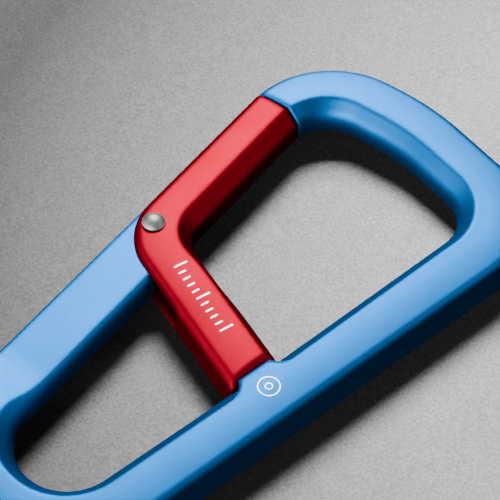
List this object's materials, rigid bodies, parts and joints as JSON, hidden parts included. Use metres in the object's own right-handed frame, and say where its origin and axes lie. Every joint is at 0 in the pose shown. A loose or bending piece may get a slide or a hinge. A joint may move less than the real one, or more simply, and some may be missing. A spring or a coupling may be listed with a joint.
{
  "type": "key carabiner",
  "caption": "Flat two-compartment key carabiner: open metal loop with a spring-closed elbow gate that closes the side and divides the loop.",
  "frame": {"origin": "centre of the outline in plan, at the level of the lowest point, which is the rear rivet dome", "axes": "+Y along the length towards the wide nose end, +Z out of the front face, +X away from the hinge side"},
  "size_m": [0.0438, 0.0866, 0.0087],
  "materials": {
    "frame_anodised": "blue satin anodised, bead blasted",
    "gate_anodised": "red satin anodised, bead blasted",
    "rivet_steel": "turned stainless steel, satin",
    "plunger_steel": "ground steel",
    "spring_steel": "drawn spring wire"
  },
  "bodies": {
    "frame_body": {"frame": "frame_anodised", "pivot_rivet": "rivet_steel", "gate_spring": "spring_steel"},
    "gate_body": {"gate": "gate_anodised"},
    "plunger_body": {"spring_plunger": "plunger_steel"}
  },
  "joints": [
    {"name": "gate_hinge", "type": "hinge", "parent": "frame_body", "child": "gate_body", "pos_m": [-0.0156, 0.00196, 0.00433], "axis": [0, 0, -1], "range_deg": [0, 28], "stiffness_Nm_per_rad": 0.03, "springref_deg": -28.65},
    {"name": "plunger_slide", "type": "slide", "parent": "frame_body", "child": "plunger_body", "axis": [-0.1271, -0.9919, 0], "range_m": [0, 0.0022], "deforming": ["gate_spring"]}
  ],
  "couplings": [
    {"joint": "plunger_slide", "follows": "gate_hinge", "m_per_rad": 0.0043}
  ]
}
